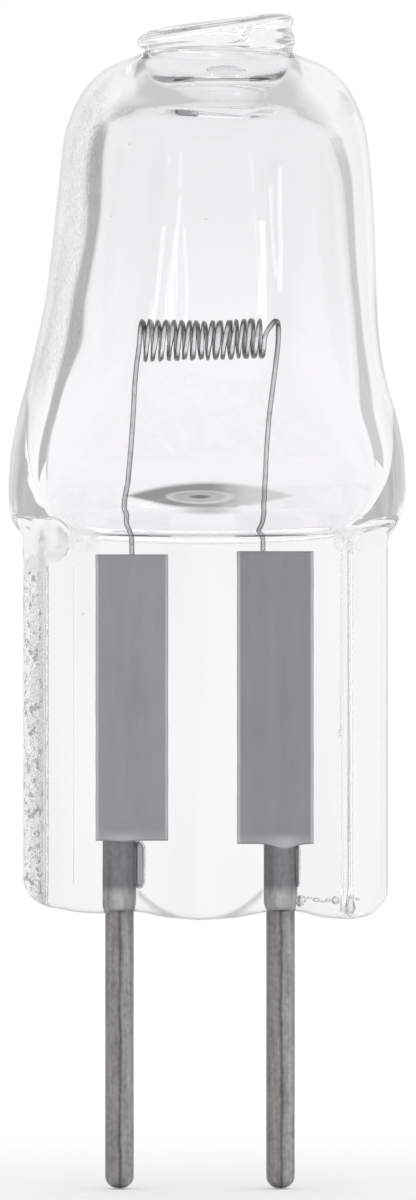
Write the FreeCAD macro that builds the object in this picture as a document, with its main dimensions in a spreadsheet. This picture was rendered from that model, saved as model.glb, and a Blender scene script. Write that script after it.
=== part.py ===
"""Halogen capsule bulb with a two-pin base, as a parametric FreeCAD document.

Millimetres. The origin lies midway between the contact pins, on the lowest point of the glass, where
the bulb seats on a holder. +Z points up to the sealed tip, the pins point down, and the coil lies
along X. The front, where the foils lie ahead of the pins, faces -Y.
"""
import FreeCAD, Part
import math
import os
import re

import Sketcher
from FreeCAD import Vector

SIZES = {
    # contact pins
    "pin_spacing": 4.0,
    "pin_diameter": 0.72,
    "pin_reach": 6.66,
    "pin_tip_radius": 0.3,
    "shank_step": 0.03,
    "shank_taper": 0.6,
    "pin_weld_length": 1.0,
    "pin_weld_flat": 0.06,
    "pin_clearance": 0.05,
    # foils
    "foil_width": 1.88,
    "foil_thickness": 0.03,
    "foil_edge_taper": 0.25,
    "foil_start": 1.96,
    "foil_cover": 0.6,
    "left_foil_inset": 0.31,
    "right_foil_inset": 0.14,
    # filament
    "wire_diameter": 0.09,
    "wire_weld_flat": 0.012,
    "coil_diameter": 1.0,
    "coil_pitch": 0.19,
    "coil_length": 3.05,
    "coil_rise": 4.73,
    "coil_shift": 0.05,
    "hook_reach": 0.28,
    "hook_lean": 0.07,
    "leg_weld_length": 0.8,
    "leg_bend_radius": 0.4,
    "leg_bend_rise": 1.15,
    "leg_entry_rise": 0.25,
    "right_leg_inset": 0.3,
    "leg_clearance": 0.02,
    # pinched seal
    "glass_shift": 0.12,
    "shoulder_height": 9.7,
    "pinch_width": 9.05,
    "web_thickness": 2.2,
    "rail_thickness": 3.0,
    "left_rail_width": 0.6,
    "right_rail_width": 1.15,
    "rail_drop": 0.45,
    "rail_edge_radius": 0.3,
    "rail_flank_run": 0.25,
    "pinch_corner_radius": 0.8,
    "seat_bulge": 0.3,
    # blown bulb
    "root_depth": 0.9,
    "root_inset": 0.2,
    "shoulder_overhang": 0.12,
    "shoulder_depth": 3.2,
    "flare_rise": 1.2,
    "flare_spread": 1.85,
    "flare_flattening": 2.47,
    "swell_rise": 2.2,
    "swell_spread": 0.97,
    "swell_flattening": 0.77,
    "barrel_rise": 1.8,
    "barrel_spread": 0.35,
    "barrel_flattening": 0.07,
    "waist_rise": 1.8,
    "tube_diameter": 8.07,
    "dome_rise": 4.7,
    "crown_diameter": 7.5,
    "dome_radius": 2.0,
    "bulb_lean_deg": 1.45,
    # sealed hollow
    "wall_thickness": 0.92,
    "dome_wall": 1.05,
    "floor_rise": 0.06,
    "floor_width": 6.7,
    "floor_depth": 1.1,
    "nipple_diameter": 1.1,
    "nipple_end_diameter": 0.4,
    "nipple_rise": 1.0,
    # sealed exhaust tip
    "neck_diameter": 3.14,
    "neck_rise": 0.45,
    "neck_shift": 0.27,
    "tip_diameter": 3.95,
    "tip_thickness": 0.42,
    "tip_edge_bevel": 0.15,
    "tip_rise": 0.5,
    "tip_tilt_deg": 7.0,
    "bead_diameter": 0.95,
    "bead_inset": 0.42,
}

# The coil repeats one thin wire many times, so the wire has few sides.
WIRE_SIDES = 4

doc = FreeCAD.newDocument("halogen_capsule_bulb")
sheet = doc.addObject("Spreadsheet::Sheet", "sizes")
for row, (alias, value) in enumerate(SIZES.items(), start=1):
    sheet.set(f"A{row}", alias)
    sheet.set(f"B{row}", str(value))
    sheet.setAlias(f"B{row}", alias)
doc.recompute()


def named(formula):
    """The formula as an expression: each word in it that names a size points at that size's cell."""
    return re.sub("[a-z_]+", lambda word: f"sizes.{word[0]}" if word[0] in SIZES else word[0], formula)


def size(alias):
    return float(sheet.get(alias))


def bind(item, **formulas):
    """Tie an object's properties to formulas over the named sizes."""
    for name, formula in formulas.items():
        item.setExpression(name.replace("__", "."), named(formula))


# Heights above the seat, from the pinch up to the top of the dome.
SHOULDER = "shoulder_height"
ROOT = f"{SHOULDER} - root_depth"
FLARE = f"{SHOULDER} + flare_rise"
SWELL = f"{FLARE} + swell_rise"
BARREL = f"{SWELL} + barrel_rise"
WAIST = f"{BARREL} + waist_rise"
DOME = f"{WAIST} + dome_rise"
FLOOR = f"{SHOULDER} + floor_rise"
CEILING = f"{DOME} - dome_wall"
FOIL_TOP = f"{FLOOR} - foil_cover"

# Distances from the pins' plane: the pins' weld flats carry the foils' back faces.
SHANK_RADIUS = "pin_diameter / 2 - shank_step"
FOIL_BACK = f"- ({SHANK_RADIUS} - pin_weld_flat)"
LEG_PLANE = f"{FOIL_BACK} + wire_diameter / 2 - wire_weld_flat"

# The bulb's sections below its waist: spread sideways and flattened from front to back.
SECTIONS = {
    "flare": ("tube_diameter + flare_spread", "tube_diameter - flare_flattening", FLARE),
    "swell": ("tube_diameter + swell_spread", "tube_diameter - swell_flattening", SWELL),
    "barrel": ("tube_diameter + barrel_spread", "tube_diameter - barrel_flattening", BARREL),
    "waist": ("tube_diameter", "tube_diameter", WAIST),
}

# Sides, from the pins' centre.
PIN_X = {"left": "- pin_spacing / 2", "right": "pin_spacing / 2"}
FOIL_X = {"left": f"{PIN_X['left']} + left_foil_inset", "right": f"{PIN_X['right']} - right_foil_inset"}
LEG_X = {"left": FOIL_X["left"], "right": f"{FOIL_X['right']} - right_leg_inset"}


def amount(formula):
    """The value of a formula over the named sizes, for the shapes that are built in code."""
    return float(sheet.evalExpression(named(formula)))


def axis_x(height):
    """The leaning bulb's axis at a height."""
    return f"glass_shift + ({height} - ({ROOT})) * tan(bulb_lean_deg * 1 deg)"


def lean(item, height):
    """Set an object on the leaning bulb's axis, square to it."""
    item.Placement.Rotation = FreeCAD.Rotation(Vector(0, 1, 0), size("bulb_lean_deg"))
    bind(
        item,
        Placement__Rotation__Angle="bulb_lean_deg * 1 deg",
        Placement__Base__x=axis_x(height),
        Placement__Base__z=height,
    )


def new_body(name):
    body = doc.addObject("PartDesign::Body", name)
    body.Label = name
    return body


def new_sketch(body, name, role):
    sketch = body.newObject("Sketcher::SketchObject", name)
    plane = next(item for item in body.Origin.OriginFeatures if item.Role == role)
    sketch.AttachmentSupport = [(plane, "")]
    sketch.MapMode = "FlatFace"
    return sketch


def dimension(sketch, name, formula, *constraint):
    """Add a dimension to a sketch and tie it to the named sizes."""
    index = sketch.addConstraint(Sketcher.Constraint(*constraint, amount(formula)))
    sketch.renameConstraint(index, name)
    sketch.setExpression(f"Constraints.{name}", named(formula))


def circle_sketch(body, name, diameter):
    """A circle around the body's own Z axis."""
    sketch = new_sketch(body, name, "XY_Plane")
    sketch.addGeometry(Part.Circle(Vector(), Vector(0, 0, 1), amount(diameter) / 2))
    sketch.addConstraint(Sketcher.Constraint("Coincident", 0, 3, -1, 1))
    dimension(sketch, "diameter", diameter, "Diameter", 0)
    return sketch


def polygon_sketch(body, name, role, corners):
    """A closed outline of straight lines whose corners are pairs of formulas."""
    sketch = new_sketch(body, name, role)
    points = [Vector(amount(across), amount(up), 0) for across, up in corners]
    count = len(points)
    for index, point in enumerate(points):
        sketch.addGeometry(Part.LineSegment(point, points[(index + 1) % count]))
    for index in range(count):
        sketch.addConstraint(Sketcher.Constraint("Coincident", index, 2, (index + 1) % count, 1))
    for index, (across, up) in enumerate(corners):
        dimension(sketch, f"across{index}", across, "DistanceX", -1, 1, index, 1)
        dimension(sketch, f"up{index}", up, "DistanceY", -1, 1, index, 1)
    return sketch


def pad(body, name, sketch, length, both=False):
    feature = body.newObject("PartDesign::Pad", name)
    feature.Profile = sketch
    feature.Midplane = both
    bind(feature, Length=length)
    doc.recompute()
    return feature


def pocket(body, name, sketch, length, reverse=False):
    before = body.Shape.Volume
    feature = body.newObject("PartDesign::Pocket", name)
    feature.Profile = sketch
    feature.Reversed = reverse
    bind(feature, Length=length)
    doc.recompute()
    if not body.Shape.Volume < before:
        raise RuntimeError(f"{name} cuts nothing")
    return feature


def revolve(body, name, sketch):
    """Turn a sketch that lies beside the body's own Z axis about that axis."""
    feature = body.newObject("PartDesign::Revolution", name)
    feature.Profile = sketch
    feature.ReferenceAxis = (sketch, ["V_Axis"])
    feature.Angle = 360
    doc.recompute()
    return feature


def round_edges(body, name, base, radius, wanted):
    """Round the edges of a feature whose middle point meets a condition."""
    edges = []
    for index, edge in enumerate(base.Shape.Edges, start=1):
        middle = edge.valueAt((edge.FirstParameter + edge.LastParameter) / 2)
        if wanted(middle):
            edges.append(f"Edge{index}")
    feature = body.newObject("PartDesign::Fillet", name)
    feature.Base = (base, edges)
    bind(feature, Radius=radius)
    doc.recompute()
    return feature


def close(first, second):
    return abs(first - second) < 1e-6


def make_pin(side):
    """A drawn wire pin: a free length with a rounded end, and a thinner sealed shank with a weld flat."""
    body = new_body(f"{side}_pin")
    bind(body, Placement__Base__x=PIN_X[side])
    top = "foil_start + pin_weld_length"
    profile = polygon_sketch(
        body,
        f"{side}_pin_profile",
        "XZ_Plane",
        [
            ("0", "- pin_reach"),
            ("pin_diameter / 2", "- pin_reach"),
            ("pin_diameter / 2", "0"),
            (SHANK_RADIUS, "shank_taper"),
            (SHANK_RADIUS, top),
            ("0", top),
        ],
    )
    whole = revolve(body, f"{side}_pin_wire", profile)
    end = -size("pin_reach")
    round_edges(body, f"{side}_pin_end", whole, "pin_tip_radius", lambda point: close(point.z, end))
    flat = polygon_sketch(
        body,
        f"{side}_weld_flat_outline",
        "XY_Plane",
        [
            ("- pin_diameter", FOIL_BACK),
            ("- pin_diameter", "- pin_diameter"),
            ("pin_diameter", "- pin_diameter"),
            ("pin_diameter", FOIL_BACK),
        ],
    )
    bind(flat, AttachmentOffset__Base__z="foil_start")
    pocket(body, f"{side}_weld_flat", flat, "2 * pin_weld_length", reverse=True)
    return body


def make_foil(side):
    """A thin ribbon, flat behind and feathered to its two long edges in front."""
    body = new_body(f"{side}_foil")
    bind(body, Placement__Base__x=FOIL_X[side], Placement__Base__z="foil_start")
    front = f"{FOIL_BACK} - foil_thickness"
    section = polygon_sketch(
        body,
        f"{side}_foil_section",
        "XY_Plane",
        [
            ("- foil_width / 2", FOIL_BACK),
            ("- foil_width / 2 + foil_edge_taper", front),
            ("foil_width / 2 - foil_edge_taper", front),
            ("foil_width / 2", FOIL_BACK),
        ],
    )
    pad(body, f"{side}_foil_ribbon", section, f"{FOIL_TOP} - foil_start")
    return body


def half_turn(start, end, side):
    """The half circle from one point to another that bulges to a side square to the line between."""
    middle = (start + end) / 2
    return Part.Arc(start, middle + side * (end - start).Length / 2, end).toShape()


def quarter_turn(start, leaving, heading, radius):
    """The quarter circle that leaves a point in one direction and ends in another, square to it."""
    centre = start + heading * radius
    diagonal = (leaving - heading) / math.sqrt(2)
    return Part.Arc(start, centre + diagonal * radius, centre + leaving * radius).toShape()


def bent_run(points, radius):
    """Straight edges through the points, with each bend rounded by a tangent arc."""
    edges = []
    start = points[0]
    for before, corner, after in zip(points, points[1:], points[2:]):
        arriving = (corner - before).normalize()
        leaving = (after - corner).normalize()
        turn = arriving.getAngle(leaving)
        trim = radius * math.tan(turn / 2)
        inward = (leaving - arriving).normalize()
        arc_start = corner - arriving * trim
        arc_end = corner + leaving * trim
        arc_middle = corner + inward * radius * (1 / math.cos(turn / 2) - 1)
        edges.append(Part.makeLine(start, arc_start))
        edges.append(Part.Arc(arc_start, arc_middle, arc_end).toShape())
        start = arc_end
    edges.append(Part.makeLine(start, points[-1]))
    return edges


def coil_edges(first_top, turns):
    """The coil from its first crest: each turn falls behind the axis and rises in front of it."""
    radius = (size("coil_diameter") - size("wire_diameter")) / 2
    fall = Vector(size("coil_pitch") / 2, 0, -2 * radius)
    rise = Vector(size("coil_pitch") / 2, 0, 2 * radius)
    stretched = Vector(size("hook_reach"), 0, 2 * radius)
    behind = Vector(0, 1, 0)
    edges = []
    crest = first_top
    for turn in range(turns):
        trough = crest + fall
        edges.append(half_turn(crest, trough, behind))
        crest = trough + (stretched if turn == turns - 1 else rise)
        edges.append(half_turn(trough, crest, -behind))
    return edges, crest


def wire_section(centre):
    """The wire's section at the foot of a leg: a polygon as large as the round wire's section."""
    side_angle = 2 * math.pi / WIRE_SIDES
    corner_radius = size("wire_diameter") / 2 * math.sqrt(side_angle / math.sin(side_angle))
    corners = [
        centre + Vector(math.cos(angle), math.sin(angle), 0) * corner_radius
        for angle in (side_angle * (index + 0.5) for index in range(WIRE_SIDES + 1))
    ]
    return Part.makePolygon(corners)


def make_filament():
    """One tungsten wire: left leg, coil, stretched last turn and right leg, swept along arcs and lines."""
    radius = (size("coil_diameter") - size("wire_diameter")) / 2
    wire_radius = size("wire_diameter") / 2
    turns = int(size("coil_length") / size("coil_pitch"))
    coil_z = amount(f"{FLOOR} + coil_rise")
    behind = Vector(0, 1, 0)
    coil_x = size("coil_shift") - turns * size("coil_pitch") / 2
    first_top = Vector(coil_x, 0, coil_z + radius)
    coil, last_top = coil_edges(first_top, turns)

    entry_z = amount(f"{FLOOR} + leg_entry_rise")
    bend_z = amount(f"{FLOOR} + leg_bend_rise")
    weld_z = amount(f"{FOIL_TOP} - leg_weld_length")
    leg_y = amount(LEG_PLANE)
    bend = size("leg_bend_radius")

    rising = Vector(size("coil_pitch") / 2, 0, 2 * radius).normalize()
    coil_start = first_top - rising * radius - behind * radius
    left_x = amount(LEG_X["left"])
    left_leg = bent_run(
        [
            Vector(left_x, leg_y, weld_z),
            Vector(left_x, leg_y, entry_z),
            coil_start - rising * ((coil_start.z - bend_z) / rising.z),
            coil_start,
        ],
        bend,
    )
    falling = Vector(-size("hook_lean"), 0, -1).normalize()
    coil_end = last_top + falling * radius + behind * radius
    right_x = amount(LEG_X["right"])
    right_leg = bent_run(
        [
            coil_end,
            coil_end + falling * ((coil_end.z - bend_z) / -falling.z),
            Vector(right_x, leg_y, entry_z),
            Vector(right_x, leg_y, weld_z),
        ],
        bend,
    )
    first_quarter = quarter_turn(first_top, -behind, -rising, radius)
    last_quarter = quarter_turn(last_top, behind, falling, radius)
    path = Part.Wire(left_leg + [first_quarter] + coil + [last_quarter] + right_leg)

    wire = path.makePipeShell([wire_section(Vector(left_x, leg_y, weld_z))], True, False)
    expected = math.pi * wire_radius**2 * path.Length
    if abs(wire.Volume / expected - 1) > 0.01:
        raise RuntimeError("the filament's volume isn't its section times its length")
    for leg_x in (left_x, right_x):
        foil_side = Part.makeBox(
            2 * wire_radius,
            2 * wire_radius,
            size("leg_weld_length"),
            Vector(leg_x - wire_radius, amount(FOIL_BACK) - 2 * wire_radius, weld_z),
        )
        wire = wire.cut(foil_side)

    feature = doc.addObject("Part::Feature", "filament")
    feature.Label = "filament"
    feature.Shape = wire.Solids[0]
    feature.Placement = FreeCAD.Placement()
    return feature


def section(name, width, depth, height):
    """An elliptical section across the bulb."""
    ellipse = doc.addObject("Part::Ellipse", name)
    bind(ellipse, MajorRadius=f"({width}) / 2", MinorRadius=f"({depth}) / 2")
    lean(ellipse, height)
    return ellipse


def loft(name, sections):
    skin = doc.addObject("Part::Loft", name)
    skin.Sections = sections
    skin.Solid = True
    return skin


def tube_profile(body):
    """Half of a tube that narrows upwards and rounds over into a dome, from its waist at the origin."""
    sketch = new_sketch(body, "tube_profile", "XZ_Plane")
    low = amount("tube_diameter / 2")
    high = amount("crown_diameter / 2")
    radius = size("dome_radius")
    height = size("dome_rise")
    slant = radius / math.sqrt(2)
    base = Part.LineSegment(Vector(0, 0, 0), Vector(low, 0, 0))
    side = Part.LineSegment(Vector(low, 0, 0), Vector(high, height - radius, 0))
    dome = Part.Arc(
        Vector(high, height - radius, 0),
        Vector(high - radius + slant, height - radius + slant, 0),
        Vector(high - radius, height, 0),
    )
    cap = Part.LineSegment(Vector(high - radius, height, 0), Vector(0, height, 0))
    axis = Part.LineSegment(Vector(0, height, 0), Vector(0, 0, 0))
    for item in (base, side, dome, cap, axis):
        sketch.addGeometry(item)
    base, side, dome, cap, axis = range(5)
    sketch.addConstraint(
        [
            Sketcher.Constraint("Coincident", base, 1, -1, 1),
            Sketcher.Constraint("Coincident", base, 2, side, 1),
            Sketcher.Constraint("Tangent", side, 2, dome, 1),
            Sketcher.Constraint("Tangent", dome, 2, cap, 1),
            Sketcher.Constraint("Coincident", cap, 2, axis, 1),
            Sketcher.Constraint("Coincident", axis, 2, base, 1),
            Sketcher.Constraint("Horizontal", base),
            Sketcher.Constraint("Horizontal", cap),
            Sketcher.Constraint("Vertical", axis),
        ]
    )
    dimension(sketch, "low_radius", "tube_diameter / 2", "DistanceX", -1, 1, base, 2)
    dimension(sketch, "high_radius", "crown_diameter / 2", "DistanceX", -1, 1, side, 2)
    dimension(sketch, "dome_radius", "dome_radius", "Radius", dome)
    dimension(sketch, "height", "dome_rise", "DistanceY", -1, 1, cap, 2)
    return sketch


def hollow_profile(body):
    """Half of the tube's bore, which closes in above to a flat ceiling."""
    bore = "tube_diameter / 2 - wall_thickness"
    upper_bore = "crown_diameter / 2 - wall_thickness"
    ceiling = "dome_rise - dome_wall"
    closing = "(dome_radius - wall_thickness)"
    return polygon_sketch(
        body,
        "hollow_profile",
        "XZ_Plane",
        [
            ("0", "0"),
            (bore, "0"),
            (upper_bore, f"{ceiling} - {closing}"),
            (f"{upper_bore} - {closing}", ceiling),
            ("0", ceiling),
        ],
    )


def turned(name, profile):
    """A body turned about the bulb's axis from its waist up."""
    body = new_body(name)
    revolve(body, f"{name}_turned", profile(body))
    lean(body, WAIST)
    return body


def make_bulb():
    """The blown outside: a domed tube that flattens and swells down to the pinch."""
    skirt = loft(
        "skirt",
        [
            section("root", "pinch_width - 2 * root_inset", "web_thickness - 2 * root_inset", ROOT),
            section("shoulder", "pinch_width + 2 * shoulder_overhang", "shoulder_depth", SHOULDER),
            *(section(name, *places) for name, places in SECTIONS.items()),
        ],
    )
    return [skirt, turned("tube", tube_profile)]


def make_hollow():
    """The sealed hollow: the bulb less its wall, down to a narrow floor above the foils."""
    walls = "- 2 * wall_thickness"
    levels = [section("hollow_floor", "floor_width", "floor_depth", FLOOR)]
    for name, (width, depth, height) in SECTIONS.items():
        levels.append(section(f"hollow_{name}", f"{width} {walls}", f"{depth} {walls}", height))
    skirt = loft("hollow_skirt", levels)
    skirt.Ruled = True
    nipple = doc.addObject("Part::Cone", "nipple")
    bind(
        nipple,
        Radius1="nipple_diameter / 2",
        Radius2="nipple_end_diameter / 2",
        Height="nipple_rise",
    )
    lean(nipple, CEILING)
    return [skirt, turned("hollow_tube", hollow_profile), nipple]


def make_tip():
    """The sealed exhaust tube: a short neck, a flattened end pressed askew, and a bead at its high side."""
    neck = doc.addObject("Part::Cylinder", "neck")
    bind(
        neck,
        Radius="neck_diameter / 2",
        Height="neck_rise + dome_wall / 2",
        Placement__Base__x=f"{axis_x(DOME)} + neck_shift",
        Placement__Base__z=f"{DOME} - dome_wall / 2",
    )
    disc = new_body("tip_disc")
    outline = circle_sketch(disc, "tip_disc_outline", "tip_diameter")
    plate = pad(disc, "tip_disc_plate", outline, "tip_thickness", both=True)
    edge = disc.newObject("PartDesign::Chamfer", "tip_disc_edge")
    rims = [index for index, item in enumerate(plate.Shape.Edges, start=1) if item.isClosed()]
    edge.Base = (plate, [f"Edge{index}" for index in rims])
    bind(edge, Size="tip_edge_bevel")
    disc.Placement.Rotation = FreeCAD.Rotation(Vector(0, -1, 0), size("tip_tilt_deg"))
    bind(
        disc,
        Placement__Rotation__Angle="tip_tilt_deg * 1 deg",
        Placement__Base__x=axis_x(DOME),
        Placement__Base__z=f"{DOME} + tip_rise",
    )
    bead = doc.addObject("Part::Sphere", "tip_bead")
    arm = "(tip_diameter / 2 - bead_inset)"
    bind(
        bead,
        Radius="bead_diameter / 2",
        Placement__Base__x=f"{axis_x(DOME)} + {arm} * cos(tip_tilt_deg * 1 deg)",
        Placement__Base__z=f"{DOME} + tip_rise + {arm} * sin(tip_tilt_deg * 1 deg)",
    )
    return [neck, disc, bead]


def pinch_outline(body):
    """The pinch from the front: straight sides, rounded lower corners and a bottom that bulges."""
    sketch = new_sketch(body, "pinch_outline", "XZ_Plane")
    half = amount("pinch_width / 2")
    top = amount("shoulder_height - rail_drop")
    low = size("seat_bulge")
    corner = size("pinch_corner_radius")
    inner = half - corner
    slant = corner / math.sqrt(2)
    outline = [
        Part.LineSegment(Vector(-half, top, 0), Vector(-half, low + corner, 0)),
        Part.Arc(
            Vector(-half, low + corner, 0),
            Vector(-inner - slant, low + corner - slant, 0),
            Vector(-inner, low, 0),
        ),
        Part.Arc(Vector(-inner, low, 0), Vector(0, 0, 0), Vector(inner, low, 0)),
        Part.Arc(
            Vector(inner, low, 0),
            Vector(inner + slant, low + corner - slant, 0),
            Vector(half, low + corner, 0),
        ),
        Part.LineSegment(Vector(half, low + corner, 0), Vector(half, top, 0)),
        Part.LineSegment(Vector(half, top, 0), Vector(-half, top, 0)),
    ]
    for item in outline:
        sketch.addGeometry(item)
    left, left_round, bottom, right_round, right, upper = range(len(outline))
    # every arc runs anticlockwise, from the left side round the bottom to the right side
    sketch.addConstraint(
        [
            Sketcher.Constraint("Tangent", left, 2, left_round, 1),
            Sketcher.Constraint("Tangent", left_round, 2, bottom, 1),
            Sketcher.Constraint("Tangent", bottom, 2, right_round, 1),
            Sketcher.Constraint("Tangent", right_round, 2, right, 1),
            Sketcher.Constraint("Coincident", right, 2, upper, 1),
            Sketcher.Constraint("Coincident", upper, 2, left, 1),
            Sketcher.Constraint("Vertical", left),
            Sketcher.Constraint("Vertical", right),
            Sketcher.Constraint("Symmetric", upper, 1, upper, 2, -2),
            Sketcher.Constraint("Equal", left_round, right_round),
            Sketcher.Constraint("PointOnObject", -1, 1, bottom),
            Sketcher.Constraint("PointOnObject", bottom, 3, -2),
        ]
    )
    dimension(sketch, "width", "pinch_width", "DistanceX", upper, 2, upper, 1)
    dimension(sketch, "top", "shoulder_height - rail_drop", "DistanceY", -1, 1, upper, 1)
    dimension(sketch, "corner", "pinch_corner_radius", "Radius", left_round)
    dimension(sketch, "bulge", "seat_bulge", "DistanceY", -1, 1, bottom, 1)
    return sketch


def make_pinch():
    """The pinched seal: a slab pressed thinner between two rails that run down its sides."""
    body = new_body("pinch")
    bind(body, Placement__Base__x="glass_shift")
    slab = pad(body, "pinch_slab", pinch_outline(body), "rail_thickness", both=True)
    face = amount("rail_thickness / 2")
    top = amount("shoulder_height - rail_drop")
    round_edges(
        body,
        "pinch_rim",
        slab,
        "rail_edge_radius",
        lambda point: close(abs(point.y), face) and not close(point.z, top),
    )
    left_rail = "- pinch_width / 2 + left_rail_width"
    right_rail = "pinch_width / 2 - right_rail_width"
    web = "web_thickness / 2"
    outside = "rail_thickness"
    # the flanks slope outwards from the web, past the rails' faces
    spread = "rail_flank_run * rail_thickness / (rail_thickness - web_thickness)"
    for side, sign in (("front", "-"), ("back", "")):
        recess = polygon_sketch(
            body,
            f"{side}_recess_outline",
            "XY_Plane",
            [
                (f"{left_rail} + rail_flank_run", f"{sign} {web}"),
                (f"{left_rail} - {spread}", f"{sign} {outside}"),
                (f"{right_rail} + {spread}", f"{sign} {outside}"),
                (f"{right_rail} - rail_flank_run", f"{sign} {web}"),
            ],
        )
        bind(recess, AttachmentOffset__Base__z="- seat_bulge")
        pocket(body, f"{side}_recess", recess, "shoulder_height + seat_bulge", reverse=True)
    return body


def make_pin_bore(side):
    """The close bore that the quartz keeps round a pin's shank, flat where it meets the foil."""
    bore = doc.addObject("Part::Cylinder", f"{side}_pin_round_bore")
    bind(
        bore,
        Radius=f"{SHANK_RADIUS} + pin_clearance",
        Height="foil_start + pin_weld_length + pin_clearance + seat_bulge",
        Placement__Base__x=PIN_X[side],
        Placement__Base__z="- seat_bulge",
    )
    ahead = doc.addObject("Part::Box", f"{side}_foil_side")
    bind(
        ahead,
        Length="2 * pin_diameter",
        Width="pin_diameter",
        Height="2 * pin_weld_length",
        Placement__Base__x=f"{PIN_X[side]} - pin_diameter",
        Placement__Base__y=f"{FOIL_BACK} - pin_diameter",
        Placement__Base__z="foil_start",
    )
    flattened = doc.addObject("Part::Cut", f"{side}_pin_bore")
    flattened.Base = bore
    flattened.Tool = ahead
    return flattened


def make_leg_bore(side):
    """The fine bore round a leg, from the floor of the hollow to the leg's end behind the foil."""
    bore = doc.addObject("Part::Cylinder", f"{side}_leg_round_bore")
    bind(
        bore,
        Radius="wire_diameter / 2 + leg_clearance",
        Height="foil_cover + leg_weld_length + leg_clearance + leg_entry_rise",
        Placement__Base__x=LEG_X[side],
        Placement__Base__y=LEG_PLANE,
        Placement__Base__z=f"{FOIL_TOP} - leg_weld_length - leg_clearance",
    )
    ahead = doc.addObject("Part::Box", f"{side}_leg_foil_side")
    bind(
        ahead,
        Length="4 * wire_diameter",
        Width="2 * wire_diameter",
        Height="2 * leg_weld_length",
        Placement__Base__x=f"{LEG_X[side]} - 2 * wire_diameter",
        Placement__Base__y=f"{FOIL_BACK} - 2 * wire_diameter",
        Placement__Base__z=f"{FOIL_TOP} - 2 * leg_weld_length",
    )
    flattened = doc.addObject("Part::Cut", f"{side}_leg_bore")
    flattened.Base = bore
    flattened.Tool = ahead
    return flattened


def make_glass(foils):
    """The quartz envelope: bulb, tip and pinch in one, less the hollow and the places of the metal."""
    solid = doc.addObject("Part::MultiFuse", "envelope_outside")
    solid.Shapes = make_bulb() + [make_pinch()] + make_tip()
    inside = doc.addObject("Part::MultiFuse", "envelope_inside")
    bores = [make(side) for make in (make_pin_bore, make_leg_bore) for side in PIN_X]
    inside.Shapes = make_hollow() + bores + foils
    glass = doc.addObject("Part::Cut", "glass_envelope")
    glass.Label = "glass_envelope"
    glass.Base = solid
    glass.Tool = inside
    return glass


pins = [make_pin(side) for side in PIN_X]
foils = [make_foil(side) for side in PIN_X]
filament = make_filament()
glass = make_glass(foils)
doc.recompute()

for item in doc.Objects:
    if "Invalid" in item.State or "Error" in item.State:
        raise RuntimeError(f"{item.Name} failed: {item.State}")
subparts = [glass, filament] + foils + pins
for item in subparts:
    if item.Shape.isNull() or not item.Shape.isValid() or len(item.Shape.Solids) != 1:
        raise RuntimeError(f"{item.Label} isn't one valid solid")

os.makedirs("parts", exist_ok=True)
for item in subparts:
    item.Shape.exportStep(f"parts/{item.Label}.step")
    box = item.Shape.BoundBox
    print(
        f"{item.Label}: {item.Shape.Volume:.4f} mm3, "
        f"x {box.XMin:.2f} to {box.XMax:.2f}, y {box.YMin:.2f} to {box.YMax:.2f}, "
        f"z {box.ZMin:.2f} to {box.ZMax:.2f}"
    )
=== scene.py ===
"""Halogen capsule bulb: the looks of the quartz, the coil, the foils and the pins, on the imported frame."""

import math

import bmesh
import bpy
from mathutils import Matrix, Vector, noise


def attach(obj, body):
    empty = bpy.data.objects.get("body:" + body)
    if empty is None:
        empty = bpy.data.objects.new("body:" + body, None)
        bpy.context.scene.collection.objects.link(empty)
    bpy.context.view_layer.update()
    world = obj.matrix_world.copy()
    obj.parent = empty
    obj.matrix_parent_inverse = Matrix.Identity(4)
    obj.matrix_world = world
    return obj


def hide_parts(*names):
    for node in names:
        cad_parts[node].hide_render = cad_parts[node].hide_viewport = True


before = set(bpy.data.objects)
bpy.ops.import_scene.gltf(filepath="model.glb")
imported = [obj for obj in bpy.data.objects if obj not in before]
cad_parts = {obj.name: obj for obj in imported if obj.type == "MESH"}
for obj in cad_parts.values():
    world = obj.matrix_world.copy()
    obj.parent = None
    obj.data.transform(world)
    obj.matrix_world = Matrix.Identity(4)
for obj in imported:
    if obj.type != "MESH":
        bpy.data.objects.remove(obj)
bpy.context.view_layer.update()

MM = 0.001


# Shaping helpers. Lengths in the tables below are millimetres.

def ease(low, high, value):
    """From 0 to 1 with soft ends as the value goes from low to high."""
    part = min(max((value - low) / (high - low), 0.0), 1.0)
    return part * part * (3.0 - 2.0 * part)


def hump(centre, width, value):
    """A soft hump of height 1 around a centre."""
    return math.exp(-(((value - centre) / width) ** 2))


def along(stations, at):
    """The numbers of a table at a place between its stations, joined by curves that don't overshoot."""
    count = len(stations)
    at = min(max(at, stations[0][0]), stations[-1][0])
    low = 0
    while low < count - 2 and stations[low + 1][0] < at:
        low += 1

    def slope(index, column):
        run = stations[index + 1][0] - stations[index][0]
        return (stations[index + 1][column] - stations[index][column]) / run

    def lean(index, column):
        if index == 0:
            return slope(0, column)
        if index == count - 1:
            return slope(count - 2, column)
        before, after = slope(index - 1, column), slope(index, column)
        return 0.0 if before * after <= 0 else 2.0 * before * after / (before + after)

    span = stations[low + 1][0] - stations[low][0]
    t = (at - stations[low][0]) / span
    values = []
    for column in range(1, len(stations[0])):
        first, last = stations[low][column], stations[low + 1][column]
        values.append(
            first * (1 + 2 * t) * (1 - t) ** 2
            + lean(low, column) * span * t * (1 - t) ** 2
            + last * t * t * (3 - 2 * t)
            + lean(low + 1, column) * span * t * t * (t - 1)
        )
    return values


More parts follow.
